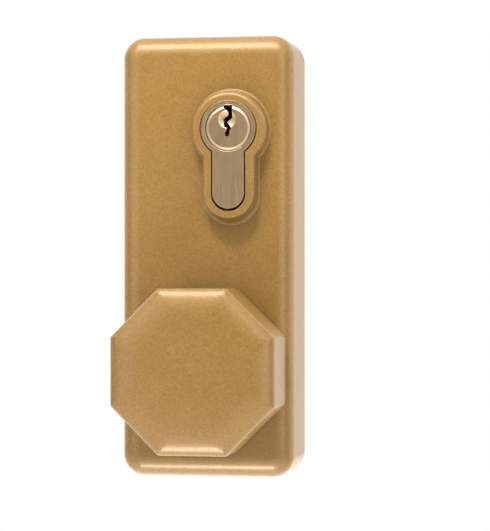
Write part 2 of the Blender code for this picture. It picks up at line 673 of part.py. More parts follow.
def build_detent():
    """Leaf spring that holds the slide at either end, and its screw."""
    left = -17.8
    right = left + 0.5
    blade = [
        (right, 16.0), (right, DETENT_Z - 4.2), (SLIDE_X0 + 0.55, DETENT_Z - 0.3),
        (SLIDE_X0 + 0.55, DETENT_Z + 0.3), (right, DETENT_Z + 4.2), (right, DETENT_Z + 7.0),
        (left, DETENT_Z + 7.0), (left, DETENT_Z + 4.5), (SLIDE_X0, DETENT_Z + 0.1),
        (SLIDE_X0, DETENT_Z - 0.1), (left, DETENT_Z - 4.5), (left, 16.0),
    ]
    leaf = add(
        box(-22.6, right, -2.65, -2.1, 9.2, 16.8),
        box(left, right, -6.6, -2.1, 9.2, 16.8),
        prism_y(blade, -6.6, -3.4),
    )
    leaf = cut(leaf, rod_y(1.6, -4, -1, 14, *DETENT_SCREW))
    finish(leaf, "detent_spring", "spring_steel")

    profile = [(1.9, -4.3), (2.4, -3.9), (2.4, -2.75), (1.4, -2.75), (1.4, -0.2)]
    screw = turned_y(profile, 16, *DETENT_SCREW)
    screw = cut(screw, box(-23, -17, -5, -3.8, 12.6, 13.4))
    finish(screw, "detent_screw", "zinc_plate")


for old_object in list(bpy.data.objects):
    bpy.data.objects.remove(old_object, do_unlink=True)

for build in (
    build_casing, build_back_plate, build_case_screws, build_fixing_posts,
    build_cylinder_body, build_cylinder_plug, build_plug_clip, build_cam, build_pin_stacks,
    build_cylinder_screw, build_knob, build_knob_shaft, build_knob_pin, build_knob_bush,
    build_centring_plate, build_knob_circlip, build_return_spring, build_clutch_sleeve,
    build_clutch_spring, build_spindle, build_lock_slide, build_guide_pins, build_detent,
):
    build()
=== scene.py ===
# Outside access device: a cast casing with a keyhole-shaped boss, a key cylinder and an octagonal
# knob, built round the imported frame. The front faces -y, the back of the casing lies at y = 0, x
# runs across and z up. Shapes are modelled in millimetres and brought to metres by piece();
# materials, lights and camera are in metres.
import json
import math

import bmesh
import bpy
from mathutils import Matrix, Vector


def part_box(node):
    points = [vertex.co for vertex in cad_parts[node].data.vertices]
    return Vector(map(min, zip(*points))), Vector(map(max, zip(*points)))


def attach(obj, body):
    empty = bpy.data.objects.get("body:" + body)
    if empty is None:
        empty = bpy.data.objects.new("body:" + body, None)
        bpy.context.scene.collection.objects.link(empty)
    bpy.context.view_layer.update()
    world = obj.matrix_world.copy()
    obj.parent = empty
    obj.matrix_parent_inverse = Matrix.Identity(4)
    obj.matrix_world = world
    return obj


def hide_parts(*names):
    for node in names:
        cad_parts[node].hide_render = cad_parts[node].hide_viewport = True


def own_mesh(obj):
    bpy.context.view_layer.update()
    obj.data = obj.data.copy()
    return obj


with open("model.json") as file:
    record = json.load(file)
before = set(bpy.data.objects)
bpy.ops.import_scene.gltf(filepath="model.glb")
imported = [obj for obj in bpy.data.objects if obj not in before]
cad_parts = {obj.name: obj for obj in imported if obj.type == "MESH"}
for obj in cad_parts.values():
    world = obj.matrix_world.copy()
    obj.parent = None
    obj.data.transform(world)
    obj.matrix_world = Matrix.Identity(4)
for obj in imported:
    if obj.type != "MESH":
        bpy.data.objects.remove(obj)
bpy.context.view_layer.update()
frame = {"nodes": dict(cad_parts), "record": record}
SCENE = bpy.context.scene

# ---------------------------------------------------------------- shared sizes (millimetres)
MM = 1000
BARREL_R = 8.5  # round part of the cylinder
WEB_R = 5.0  # rounded foot of the web below the barrel
WEB_DROP = 19.5  # from the barrel's axis down to the centre of the foot
BOSS_H = 5.7  # how far the keyhole boss stands out of the casing's face

case_lo, case_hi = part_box("casing")
CASE_W = (case_hi.x - case_lo.x) * MM
CASE_H = (case_hi.z - case_lo.z) * MM
FACE = case_lo.y * MM + BOSS_H  # y of the casing's flat front

cyl_lo, cyl_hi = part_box("cylinder_body")
CYL_FRONT = cyl_lo.y * MM
CYL_REAR = cyl_hi.y * MM
CYL_X = (cyl_lo.x + cyl_hi.x) * MM / 2
CYL_Z = cyl_hi.z * MM - BARREL_R
PIN_FIRST, PIN_PITCH, PIN_HOLE_R = 4.5, 3.8, 1.5  # first pin behind the cylinder's front
PIN_Y = [CYL_FRONT + (PIN_FIRST + PIN_PITCH * k) for k in range(5)]

knob_lo, knob_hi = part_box("knob")
KNOB_Z = (knob_lo.z + knob_hi.z) * MM / 2
KNOB_FRONT = knob_lo.y * MM
KNOB_REAR = FACE - 1.2
KNOB_HALF = (knob_hi.x - knob_lo.x) * MM / 2 - 0.15  # axis to flat


# ---------------------------------------------------------------- mesh helpers (millimetres)
def loft(rings):
    """A closed solid through rings of equally many points, with a flat cap at either end."""
    n = len(rings[0])
    verts = [tuple(v) for ring in rings for v in ring]
    faces = []
    for k in range(len(rings) - 1):
        a, b = k * n, (k + 1) * n
        for i in range(n):
            j = (i + 1) % n
            faces.append((a + i, a + j, b + j, b + i))
    faces.append(tuple(range(n)))
    faces.append(tuple(range((len(rings) - 1) * n, len(rings) * n)))
    mesh = bpy.data.meshes.new("solid")
    mesh.from_pydata(verts, [], faces)
    bm = bmesh.new()
    bm.from_mesh(mesh)
    bmesh.ops.recalc_face_normals(bm, faces=bm.faces)
    if bm.calc_volume(signed=True) < 0:
        bmesh.ops.reverse_faces(bm, faces=bm.faces)
    bm.to_mesh(mesh)
    bm.free()
    ob = bpy.data.objects.new("solid", mesh)
    SCENE.collection.objects.link(ob)
    return ob


def ring_at(outline, y):
    """An outline of (x, z) points, set at depth y."""
    return [(x, y, z) for x, z in outline]


def prism_y(outline, y0, y1):
    return loft([ring_at(outline, y0), ring_at(outline, y1)])


def box(x, y, z):
    """A block from its (low, high) range on each axis."""
    return prism_y([(x[0], z[0]), (x[1], z[0]), (x[1], z[1]), (x[0], z[1])], *y)


def circle(r, n, u, v):
    turns = [2 * math.pi * i / n for i in range(n)]
    return [(u + r * math.cos(a), v + r * math.sin(a)) for a in turns]


def turned(profile, n, x=0.0, z=0.0):
    """A solid turned about the y direction from (radius, y) stations."""
    return loft([ring_at(circle(r, n, x, z), y) for r, y in profile])


def round_y(r, y0, y1, n=64, x=0.0, z=0.0):
    return turned([(r, y0), (r, y1)], n, x, z)


def round_z(r, z0, z1, n, x, y):
    return loft([[(u, v, z) for u, v in circle(r, n, x, y)] for z in (z0, z1)])


def round_x(r, x0, x1, n, y, z):
    return loft([[(x, u, v) for u, v in circle(r, n, y, z)] for x in (x0, x1)])


def arc(x, z, r, start, end, n):
    """Points along an arc in the x-z plane, angles in degrees."""
    angles = [math.radians(start + (end - start) * i / n) for i in range(n + 1)]
    return [(x + r * math.cos(a), z + r * math.sin(a)) for a in angles]


def round_rect(half_x, half_z, r, n=14):
    points = []
    for sx, sz, a in ((1, 1, 0), (-1, 1, 90), (-1, -1, 180), (1, -1, 270)):
        points += arc(sx * (half_x - r), sz * (half_z - r), r, a, a + 90, n)
    return points


def keyhole(grow, n_barrel=84, n_foot=40, foot_r=WEB_R, dx=0.0, dz=0.0, rise=0.0, drop=0.0):
    """The cylinder's outline grown outwards, its barrel lifted by rise, its foot lowered by drop."""
    r, foot = BARREL_R + grow, foot_r + grow
    phi = math.degrees(math.acos(foot / r))
    points = arc(CYL_X + dx, CYL_Z + dz + rise, r, -phi, 180 + phi, n_barrel)
    return points + arc(CYL_X + dx, CYL_Z + dz - WEB_DROP - drop, foot, 180, 360, n_foot)


def combine(ob, others, how):
    """Booleans the others into ob one after another and removes them."""
    for other in others:
        boolean = ob.modifiers.new("boolean", "BOOLEAN")
        boolean.operation = how
        boolean.solver = "EXACT"
        boolean.object = other
        depsgraph = bpy.context.evaluated_depsgraph_get()
        mesh = bpy.data.meshes.new_from_object(ob.evaluated_get(depsgraph))
        old = ob.data
        ob.modifiers.clear()
        ob.data = mesh
        bpy.data.meshes.remove(old)
        bpy.data.objects.remove(other, do_unlink=True)


def cut(ob, *others):
    combine(ob, others, "DIFFERENCE")


def add(ob, *others):
    combine(ob, others, "UNION")


def paint(ob, slot):
    ob.data.materials.clear()
    ob.data.materials.append(MATERIALS[slot])
    for p in ob.data.polygons:
        p.material_index = 0


def weight_normals(ob):
    ob.modifiers.new("weighted", "WEIGHTED_NORMAL").keep_sharp = True


def piece(ob, name, body, slot, replaces, sharp_angle=34.0):
    """Names a mesh, brings it to metres, smooths it, paints it, hangs it on its body and hides the part
    it replaces.
    """
    bm = bmesh.new()
    bm.from_mesh(ob.data)
    bmesh.ops.remove_doubles(bm, verts=bm.verts, dist=0.0015)
    bmesh.ops.dissolve_degenerate(bm, edges=bm.edges, dist=0.001)
    bm.to_mesh(ob.data)
    bm.free()
    ob.data.transform(Matrix.Scale(0.001, 4))
    ob.name = name
    ob.data.name = name
    paint(ob, slot)
    for p in ob.data.polygons:
        p.use_smooth = True
    ob.data.set_sharp_from_angle(angle=math.radians(sharp_angle))
    weight_normals(ob)
    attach(ob, body)
    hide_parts(replaces)


# ---------------------------------------------------------------- node tree helpers
class Graph:
    """A short way to write a node tree; values may be numbers, colours or output sockets."""

    def __init__(self, tree):
        self.tree = tree
        tree.nodes.clear()

    def put(self, socket, value):
        if isinstance(value, bpy.types.NodeSocket):
            self.tree.links.new(value, socket)
        elif isinstance(value, tuple) and len(value) == 3 and socket.type == "RGBA":
            socket.default_value = (*value, 1.0)
        else:
            socket.default_value = value

    def node(self, kind, inputs, **settings):
        node = self.tree.nodes.new(kind)
        for key, value in settings.items():
            setattr(node, key, value)
        for key, value in inputs.items():
            self.put(node.inputs[key], value)
        return node

    def math(self, operation, a, b=0.0):
        return self.node("ShaderNodeMath", {0: a, 1: b}, operation=operation).outputs[0]

    def span(self, value, source, result):
        """Maps the (low, high) range source to the range result."""
        inputs = {
            "Value": value,
            "From Min": source[0],
            "From Max": source[1],
            "To Min": result[0],
            "To Max": result[1],
        }
        return self.node("ShaderNodeMapRange", inputs).outputs[0]

    def mix(self, factor, a, b, blend="MIX"):
        inputs = {0: factor, 6: a, 7: b}  # 6 and 7 are the colour sockets
        return self.node("ShaderNodeMix", inputs, data_type="RGBA", blend_type=blend).outputs[2]

    def fade(self, value, source, a, b, most=1.0):
        """Fades from colour a towards b, by the share most, as value crosses the range source."""
        return self.mix(self.span(value, source, (0.0, most)), a, b)

    def ramp(self, angle, limit, stops):
        """Brightness over an angle from -limit to limit; stops are (degrees, brightness)."""
        ramp = self.node("ShaderNodeValToRGB", {0: self.span(angle, (-limit, limit), (0.0, 1.0))})
        ramp.color_ramp.interpolation = "EASE"
        top = max(level for _, level in stops)
        elements = ramp.color_ramp.elements
        while len(elements) < len(stops):
            elements.new(0.5)
        for element, (degrees, level) in zip(elements, stops):
            element.position = (math.radians(degrees) + limit) / (2 * limit)
            element.color = (level / top, level / top, level / top, 1)
        return self.math("MULTIPLY", ramp.outputs[0], top)


class MaterialGraph(Graph):
    def __init__(self, name):
        self.material = bpy.data.materials.new(name)
        self.material.use_nodes = True
        super().__init__(self.material.node_tree)
        output = self.node("ShaderNodeOutputMaterial", {})
        self.principled = self.node("ShaderNodeBsdfPrincipled", {})
        self.put(output.inputs[0], self.principled.outputs[0])
        self.place = self.node("ShaderNodeTexCoord", {}).outputs["Object"]

    def finish(self, **values):
        """Sets the principled inputs, underscores standing for spaces."""
        for key, value in values.items():
            self.put(self.principled.inputs[key.replace("_", " ")], value)
        return self.material

    def noise(self, scale=1.0, detail=3.0, rough=0.6, stretch=None, turn=(0, 0, 0)):
        """Noise; stretch gives it a scale for each axis after a turn in radians."""
        vector = self.place
        if stretch:
            inputs = {"Vector": vector, "Scale": stretch, "Rotation": turn}
            vector = self.node("ShaderNodeMapping", inputs).outputs[0]
        inputs = {"Scale": scale, "Detail": detail, "Roughness": rough, "Vector": vector}
        return self.node("ShaderNodeTexNoise", inputs).outputs[0]

    def cells(self, scale, channel):
        """One channel of the random colours of a cell pattern."""
        cells = self.node("ShaderNodeTexVoronoi", {"Scale": scale, "Vector": self.place})
        return self.node("ShaderNodeSeparateColor", {0: cells.outputs["Color"]}).outputs[channel]

    def openness(self, distance):
        """Low in corners, 1 in the open; it drives the painted shade in corners and gaps."""
        inputs = {"Distance": distance}
        return self.node("ShaderNodeAmbientOcclusion", inputs, samples=8).outputs["AO"]

    def brighten(self, colour, gain):
        grey = self.node("ShaderNodeCombineColor", {0: gain, 1: gain, 2: gain}).outputs[0]
        return self.mix(1.0, colour, grey, "MULTIPLY")

    def bump(self, height, strength, distance, normal=None):
        inputs = {"Strength": strength, "Distance": distance, "Height": height}
        if normal is not None:
            inputs["Normal"] = normal
        return self.node("ShaderNodeBump", inputs).outputs[0]


# ---------------------------------------------------------------- materials
MID = (0.3, 0.7)  # the range in which most noise values lie
FULL = (0.0, 1.0)


def gold_enamel():
    """Bronze-gold flake under a clear skin, with fine sparkle and slight orange peel."""
    mat = MaterialGraph("gold_enamel")
    flake = mat.cells(scale=3000.0, channel=0)
    grain = mat.noise(scale=1700.0)
    cloud = mat.noise(scale=70.0, rough=0.55)
    base = mat.fade(cloud, MID, (0.236, 0.129, 0.030), (0.254, 0.140, 0.034))
    flake_gain = mat.span(flake, FULL, (-0.10, 0.10))
    grain_gain = mat.span(grain, (0.25, 0.75), (-0.15, 0.15))
    gain = mat.math("ADD", mat.math("ADD", flake_gain, grain_gain), 1.0)
    base = mat.brighten(base, gain)
    # painted shade: the flake colour is darkened where ambient occlusion is low, in corners and beside
    # the boss and the knob
    base = mat.brighten(base, mat.span(mat.openness(distance=0.005), (0.5, 0.97), (0.92, 1.0)))
    grain_rough = mat.span(grain, (0.2, 0.8), (0.50, 0.58))
    flake_rough = mat.span(flake, FULL, (-0.04, 0.04))
    peel_noise = mat.noise(scale=520.0, detail=2.0, rough=0.5)
    peel = mat.bump(peel_noise, strength=0.05, distance=0.0002)
    return mat.finish(
        Base_Color=base,
        Metallic=0.4,
        Roughness=mat.math("ADD", grain_rough, flake_rough),
        Normal=mat.bump(grain, strength=0.10, distance=0.0001, normal=peel),
        Specular_IOR_Level=0.05,
        Coat_Weight=1.0,
        Coat_Roughness=0.26,
        Coat_IOR=1.5,
        Coat_Normal=peel,
    )


def satin_nickel():
    """Nickel plate, ground vertically: long fine lines with a little tarnish."""
    mat = MaterialGraph("satin_nickel")
    fine = mat.noise(stretch=(7200, 900, 120))
    coarse = mat.noise(detail=2.0, rough=0.5, stretch=(2100, 400, 45))
    cloud = mat.noise(scale=260.0)
    fine_share = mat.math("MULTIPLY", fine, 0.6)
    coarse_share = mat.math("MULTIPLY", coarse, 0.4)
    lines = mat.math("ADD", fine_share, coarse_share)
    base = mat.fade(lines, MID, (0.41, 0.28, 0.15), (0.58, 0.40, 0.222))
    base = mat.fade(cloud, (0.4, 0.7), base, (0.41, 0.275, 0.152), most=0.3)
    # painted shade: near-black mixed in where ambient occlusion is low, in narrow gaps and down the
    # keyway
    painted_gap_shade = mat.span(mat.openness(distance=0.0016), (0.25, 0.85), (1.0, 0.0))
    return mat.finish(
        Base_Color=mat.mix(painted_gap_shade, base, (0.03, 0.022, 0.014)),
        Metallic=1.0,
        Roughness=mat.span(fine, MID, (0.28, 0.42)),
        Anisotropic=0.35,
        Coat_Weight=1.0,
        Coat_Roughness=0.22,
        Coat_IOR=1.55,
        Normal=mat.bump(lines, strength=0.22, distance=0.00006),
    )


def zinc_plate():
    """Bright zinc with faint spangles and slanting scratches."""
    mat = MaterialGraph("zinc_plate")
    cloud = mat.noise(scale=180.0, detail=4.0)
    spangle = mat.cells(scale=420.0, channel=1)
    scratch = mat.noise(detail=2.0, rough=0.5, stretch=(300, 300, 3200), turn=(0.3, 0.2, 0.5))
    base = mat.fade(cloud, MID, (0.25, 0.262, 0.285), (0.35, 0.352, 0.345))
    wear = mat.math("ADD", cloud, mat.math("MULTIPLY", scratch, 0.5))
    return mat.finish(
        Base_Color=mat.fade(spangle, FULL, base, (0.36, 0.33, 0.27), most=0.18),
        Metallic=1.0,
        Roughness=mat.span(wear, (0.5, 1.0), (0.26, 0.44)),
        Normal=mat.bump(scratch, strength=0.12, distance=0.00005),
    )


def streaked_metal(name, streaks, cloud_scale, tones, tarnish, cloud_from, rough, bump):
    """Metal in two tones along its tool marks, with clouds of tarnish (colour, upper limit, share);
    bump is (strength, distance)."""
    mat = MaterialGraph(name)
    marks = mat.noise(**streaks)
    cloud = mat.noise(scale=cloud_scale)
    base = mat.fade(marks, MID, *tones)
    colour, cloud_to, share = tarnish
    return mat.finish(
        Base_Color=mat.fade(cloud, (cloud_from, cloud_to), base, colour, most=share),
        Metallic=1.0,
        Roughness=mat.span(marks, MID, rough),
        Normal=mat.bump(marks, *bump),
    )


def bearing_plastic():
    """Black plastic with a fine grain."""
    mat = MaterialGraph("bearing_plastic")
    fine = mat.noise(scale=1500.0, detail=4.0)
    return mat.finish(
        Base_Color=mat.fade(fine, MID, (0.018, 0.018, 0.020), (0.045, 0.045, 0.048)),
        Metallic=0.0,
        Roughness=mat.span(fine, MID, (0.42, 0.58)),
        Normal=mat.bump(fine, strength=0.12, distance=0.00005),
    )


MATERIALS = {
    "gold_enamel": gold_enamel(),
    "satin_nickel": satin_nickel(),
    "zinc_plate": zinc_plate(),
    "steel": streaked_metal(
        "steel",
        streaks={"stretch": (120, 5200, 120)},
        cloud_scale=240.0,
        tones=((0.21, 0.213, 0.22), (0.33, 0.33, 0.332)),
        tarnish=((0.23, 0.20, 0.165), 0.75, 0.35),
        cloud_from=0.5,
        rough=(0.26, 0.42),
        bump=(0.2, 0.00005),
    ),
    "spring_steel": streaked_metal(
        "spring_steel",
        streaks={"scale": 2600.0},
        cloud_scale=300.0,
        tones=((0.20, 0.205, 0.22), (0.36, 0.365, 0.38)),
        tarnish=((0.25, 0.21, 0.17), 0.8, 0.4),
        cloud_from=0.5,
        rough=(0.24, 0.40),
        bump=(0.1, 0.00004),
    ),
    "brass": streaked_metal(
        "brass",
        streaks={"stretch": (160, 160, 6400)},
        cloud_scale=500.0,
        tones=((0.62, 0.40, 0.14), (0.80, 0.57, 0.25)),
        tarnish=((0.44, 0.27, 0.10), 0.8, 0.4),
        cloud_from=0.5,
        rough=(0.2, 0.34),
        bump=(0.18, 0.00004),
    ),
    "bearing_plastic": bearing_plastic(),
}

# ---------------------------------------------------------------- casing
CASE_R, MIN_CASE_R, WALL = 6.5, 0.8, 2.6
EDGE_IN, EDGE_BACK = 6.0, 4.5  # the rounded front edge, across and in depth
INNER_EDGE = 1.4  # rounding inside that edge
ROOT_Y = FACE + WALL - 0.6  # inner parts start inside the front wall
SCREWS = [(x, z) for z in (60.3, -60.3) for x in (-19.4, 19.4)]
# boss from root to rim: growth of the outline, height above the face, drop of foot, rise of barrel
BOSS = [
    (4.0, -0.8, 1.05, -0.15), (4.0, 0.0, 1.05, -0.15), (3.99, 0.1, 1.05, -0.15),
    (3.95, 0.19, 1.04, -0.15), (3.87, 0.26, 1.0, -0.15), (3.74, 0.31, 0.95, -0.15),
    (3.58, 0.33, 0.9, -0.15), (3.44, 0.36, 0.82, -0.15), (3.33, 0.46, 0.76, -0.15),
    (3.24, 0.64, 0.7, -0.15), (3.17, 0.9, 0.64, -0.15), (3.13, 1.25, 0.6, -0.15),
    (3.05, 3.0, 0.42, -0.15), (2.97, 4.35, 0.2, -0.15), (2.93, 4.6, 0.17, -0.17),
    (2.85, 4.86, 0.19, -0.2), (2.73, 5.1, 0.24, -0.24), (2.57, 5.32, 0.31, -0.29),
    (2.37, 5.5, 0.4, -0.34), (2.14, 5.615, 0.5, -0.39), (1.9, 5.68, 0.58, -0.43),
    (1.64, BOSS_H, 0.62, -0.46),
]
# opening for the cylinder: growth of the outline, height above the face
MOUTH = [
    (0.48, BOSS_H + 1.0), (0.48, BOSS_H + 0.12), (0.35, BOSS_H - 0.02),
    (0.26, BOSS_H - 0.1), (0.2, BOSS_H - 0.25), (0.2, -17.0),
]


def case_ring(inset, y):
    r = max(CASE_R - inset, MIN_CASE_R)
    return ring_at(round_rect(CASE_W / 2 - inset, CASE_H / 2 - inset, r), y)


def rounded_edge(inset, y, width, depth, steps):
    """Rings over a quarter ellipse from the side to the front, which lies at y."""
    rings = []
    for i in range(steps + 1):
        a = math.radians(90 * i / steps)
        rings.append(case_ring(inset + width * (1 - math.cos(a)), y + depth * (1 - math.sin(a))))
    return rings


def build_casing():
    rear = [case_ring(0.35, -0.001), case_ring(0.1, -0.12), case_ring(0.0, -0.4)]
    shell = loft(rear + rounded_edge(0.0, FACE, EDGE_IN, EDGE_BACK, 16))
    boss = [
        ring_at(keyhole(grow, dx=-0.05, rise=rise, drop=drop), FACE - h)
        for grow, h, drop, rise in BOSS
    ]
    add(shell, loft(boss))
    hollow = rounded_edge(WALL, FACE + WALL, INNER_EDGE, INNER_EDGE, 5)
    cut(shell, loft([case_ring(WALL, 1.0)] + hollow))
    # inside: a keyhole collar, a ring behind the knob, a block below the ring, posts for screws
    add(
        shell,
        prism_y(keyhole(2.6, 40, 20), ROOT_Y, -15.0),
        round_y(9.5, ROOT_Y, -17.6, x=0, z=KNOB_Z),
        box(x=(-1.8, 1.8), y=(ROOT_Y, -17.8), z=(KNOB_Z - 15.2, KNOB_Z - 13.0)),
        *[round_y(5.0, ROOT_Y, -2.15, 32, x, z) for x, z in SCREWS],
    )
    mouth = [ring_at(keyhole(grow, dz=-0.15, drop=0.3), FACE - h) for grow, h in MOUTH]
    cut(
        shell,
        loft(mouth),
        round_y(8.15, FACE - 1, -16.0, x=0, z=KNOB_Z),
        *[round_y(2.05, -14.0, -1.0, 20, x, z) for x, z in SCREWS],
    )
    piece(shell, "casing_shell", "casing", "gold_enamel", "casing")


# ---------------------------------------------------------------- key cylinder
CAM_Y0, CAM_Y1 = -9.7, 0.3  # gap across the barrel
PLUG_FRONT = CYL_FRONT + 0.05
FLAT_Z = 2.7  # flats above and below the plug's tail
# barrel: growth of the outline, distance behind its front
BARREL = [
    (-0.14, 0.0), (-0.08, 0.015), (-0.03, 0.05), (0.0, 0.12), (0.0, 36.6), (-0.1, 36.85),
    (-0.3, 37.0),
]
# counterbore for the plug's flange: radius, distance behind the barrel's front
COUNTERBORE = [(7.3, -0.4), (7.14, 0.01), (7.07, 0.05), (7.04, 0.12), (7.03, 0.25), (7.03, 1.15)]
# flange of the plug: radius, distance behind the plug's front
FLANGE = [
    (5.98, 0.0), (6.05, 0.02), (6.25, 0.12), (6.5, 0.23), (6.7, 0.29), (6.85, 0.32), (6.92, 0.37),
    (6.95, 0.52), (6.95, 0.95), (6.6, 0.95),
]
# plug behind its flange, with a ring groove and a thinner tail: radius, y
PLUG_REAR = [(6.6, -9.5), (5.6, -9.5), (5.6, -8.85), (6.6, -8.85), (6.6, -8.2), (4.0, -8.2), (4.0, -1.0)]
# keyway: x, z from the cylinder's axis
KEYWAY = [
    (1.22, 7.4), (1.22, 3.0), (0.6, 2.55), (-0.05, 2.15), (-0.34, 1.8), (-0.3, 1.55), (0.14, 1.14),
    (0.62, 0.55), (0.9, 0.15), (0.9, -0.2), (0.5, -0.75), (0.36, -1.6), (0.22, -2.5),
    (-0.94, -2.5), (-0.94, -1.3), (-0.58, -0.85), (-0.4, 0.02), (-1.05, 0.22), (-1.4, 0.5),
    (-1.4, 2.65), (-1.12, 3.15), (-0.36, 3.6), (-0.02, 3.95), (0.05, 4.5), (-0.1, 4.95),
    (-0.4, 5.4), (-1.4, 6.1), (-1.4, 7.4),
]


def pin_holes(z0, z1):
    return [round_z(PIN_HOLE_R, CYL_Z + z0, CYL_Z + z1, 20, CYL_X, y) for y in PIN_Y]


def build_barrel():
    barrel = loft([
        ring_at(keyhole(grow, 96, 44, foot_r=WEB_R - 0.1, rise=0.05), CYL_FRONT + depth)
        for grow, depth in BARREL
    ])
    gap_x = (CYL_X - 9, CYL_X + 9)
    cut(
        barrel,
        box(x=gap_x, y=(CAM_Y0, CAM_Y1), z=(CYL_Z - 15.3, CYL_Z + 9.5)),
        turned([(r, CYL_FRONT + depth) for r, depth in COUNTERBORE], 96, CYL_X, CYL_Z),
        round_y(6.75, CYL_FRONT - 1, CAM_Y0 + 1, 96, CYL_X, CYL_Z),
        round_y(5.05, CAM_Y1 - 1, CYL_REAR + 1, 48, CYL_X, CYL_Z),
        *pin_holes(-26.0, -5.5),
        # cross hole through the web
        round_x(2.65, CYL_X - 7, CYL_X + 7, 32, (CAM_Y0 + CAM_Y1) / 2, CYL_Z - WEB_DROP),
    )
    piece(barrel, "cylinder_barrel", "casing", "satin_nickel", "cylinder_body")


def key_dish():
    """The shallow bowl in the plug's front, off its axis."""
    stations = [(3.3, PLUG_FRONT - 0.4)]
    for i in range(9):
        r = 3.0 - 2.7 * i / 8
        stations.append((r, PLUG_FRONT + 0.8 * (1 - (r / 2.88) ** 2)))
    return turned(stations, 64, CYL_X - 0.33, CYL_Z + 2.68)


def build_plug():
    flange = [(r, PLUG_FRONT + depth) for r, depth in FLANGE]
    plug = turned(flange + PLUG_REAR, 96, CYL_X, CYL_Z)
    tail_x, tail_y = (CYL_X - 6, CYL_X + 6), (-8.1, 1.0)
    keyway = [(CYL_X + x, CYL_Z + z) for x, z in KEYWAY]
    cut(
        plug,
        box(x=tail_x, y=tail_y, z=(CYL_Z + FLAT_Z, CYL_Z + 6)),
        box(x=tail_x, y=tail_y, z=(CYL_Z - 6, CYL_Z - FLAT_Z)),
        prism_y(keyway, CYL_FRONT - 1, -10.4),
        *pin_holes(-8.0, 1.8),
        key_dish(),
    )
    piece(plug, "cylinder_core", "cylinder_plug", "satin_nickel", "cylinder_plug")


# ---------------------------------------------------------------- knob
SOFT_IN, SOFT_BACK = 9.0, 2.9  # the soft front edge, across and in depth
DOME = 1.0  # how far the dome of the face falls back at its rim
RIDGE_R, RIDGE_GROW = 0.9, 1.1  # corner radius at the edge, and its growth per mm inwards
FACE_RINGS = 12
# side from rear to front: inset, corner radius, distance in front of the rear
KNOB_SIDE = [
    (0.5, 2.4, 0.0), (0.24, 2.3, 0.06), (0.08, 2.2, 0.2), (0.0, 2.1, 0.5), (0.0, 1.6, 3.5),
    (0.0, 1.1, 9.0),
]
# hollow at the rear: inset, y
RECESS = [
    (3.2, KNOB_REAR + 1), (3.6, KNOB_FRONT + 6.4), (4.0, KNOB_FRONT + 5.7),
    (5.0, KNOB_FRONT + 5.2),
]


def octagon(half, corner_r, n=7):
    """Octagon about the knob's axis with flats half away from it and rounded corners."""
    points = []
    for k in range(8):
        a = math.pi / 8 + k * math.pi / 4
        d = (half - corner_r) / math.cos(math.pi / 8)
        x, z = d * math.cos(a), d * math.sin(a)
        for i in range(n + 1):
            t = a + math.radians(-22.5 + 45 * i / n)
            points.append((x + corner_r * math.cos(t), KNOB_Z + (z + corner_r * math.sin(t))))
    return points


def knob_face(inset):
    """y of the knob's front at an inset from the flats."""
    t = max(0.0, (SOFT_IN - inset) / SOFT_IN)
    soft = SOFT_BACK * (1 - math.sqrt(max(0.0, 1 - t * t)))
    return KNOB_FRONT + soft + DOME * ((KNOB_HALF - inset) / KNOB_HALF) ** 2


def build_knob():
    stations = [(KNOB_HALF - inset, r, KNOB_REAR - forward) for inset, r, forward in KNOB_SIDE]
    for degrees in (*range(0, 90, 7), 90):
        inset = SOFT_IN * (1 - math.cos(math.radians(degrees)))
        stations.append((KNOB_HALF - inset, RIDGE_R + RIDGE_GROW * inset, knob_face(inset)))
    flat = KNOB_HALF - SOFT_IN
    for i in range(1, FACE_RINGS):
        half = flat * (1 - i / FACE_RINGS)
        corner_r = RIDGE_R + RIDGE_GROW * SOFT_IN * (half / flat)
        stations.append((half, corner_r, knob_face(KNOB_HALF - half)))
    head = loft([ring_at(octagon(half, min(r, half * 0.62)), y) for half, r, y in stations])
    cut(head, loft([ring_at(octagon(KNOB_HALF - inset, 0.6), y) for inset, y in RECESS]))
    # hub and crossed ribs in the hollow
    inside = KNOB_FRONT + 4.2
    add(head, turned([(9.8, inside), (10.4, FACE - 1.6), (10.2, FACE - 1.05)], 64, 0, KNOB_Z))
    reach = KNOB_HALF - 1.9
    for degrees in (0, 90):
        rib = box(x=(-reach, reach), y=(inside, KNOB_REAR - 3.0), z=(-1.1, 1.1))
        turn = Matrix.Rotation(math.radians(degrees), 4, "Y")
        rib.data.transform(Matrix.Translation((0, 0, KNOB_Z)) @ turn)
        add(head, rib)
    # bore from the rear and a cross hole
    cut(
        head,
        round_y(6.6, FACE - 17.0, FACE + 1, x=0, z=KNOB_Z),
        round_x(1.6, -12.5, 12.5, 24, FACE - 9.0, KNOB_Z),
    )
    piece(head, "knob_head", "knob", "gold_enamel", "knob", sharp_angle=30.0)


# ---------------------------------------------------------------- coil springs
def coil(radius, wire, turns, start, end, centre, axis, sides=10, steps=24):
    """Round wire wound about the y or z axis through centre, its centre line from start to end."""

    def place(u, v, w):
        u, v = centre[0] + u, centre[1] + v
        return (u, v, w) if axis == "z" else (u, w, v)

    rings = []
    n = int(turns * steps)
    lean = math.atan2((end - start) / turns, 2 * math.pi * radius)
    for i in range(n + 1):
        a = 2 * math.pi * turns * i / n
        along = start + (end - start) * i / n
        ring = []
        for k in range(sides):
            t = 2 * math.pi * k / sides
            up = wire * math.sin(t)
            r, side = radius + wire * math.cos(t), -up * math.sin(lean)
            u = r * math.cos(a) - side * math.sin(a)
            v = r * math.sin(a) + side * math.cos(a)
            ring.append(place(u, v, along + up * math.cos(lean)))
        rings.append(ring)
    return loft(rings)


